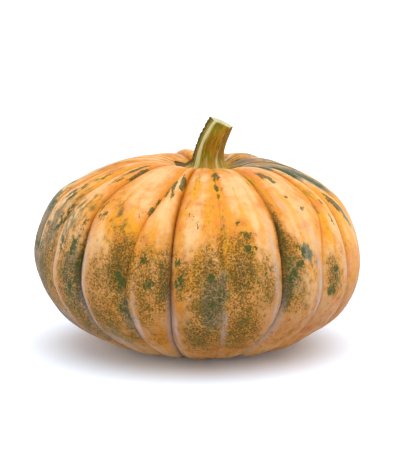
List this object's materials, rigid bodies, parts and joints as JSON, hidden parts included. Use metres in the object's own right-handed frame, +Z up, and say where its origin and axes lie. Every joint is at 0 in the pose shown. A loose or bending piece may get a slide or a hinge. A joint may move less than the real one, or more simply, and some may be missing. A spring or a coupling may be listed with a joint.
{
  "type": "ribbed pumpkin",
  "caption": "Squat ribbed pumpkin that stands on its blossom end, with a hollow crown and a short curved five-ridged stalk cut at a slant.",
  "frame": {"origin": "middle of the fruit's footprint, on the surface it stands on", "axes": "+Z up, -Y the front, +X the side that the stalk leans to"},
  "size_m": [0.2468, 0.2468, 0.1728],
  "materials": {
    "rind": "waxy satin rind, orange with olive-green mottling",
    "stalk": "dry, ridged and corky"
  },
  "bodies": {
    "root": {"fruit": "rind", "stem": "stalk"}
  },
  "joints": []
}
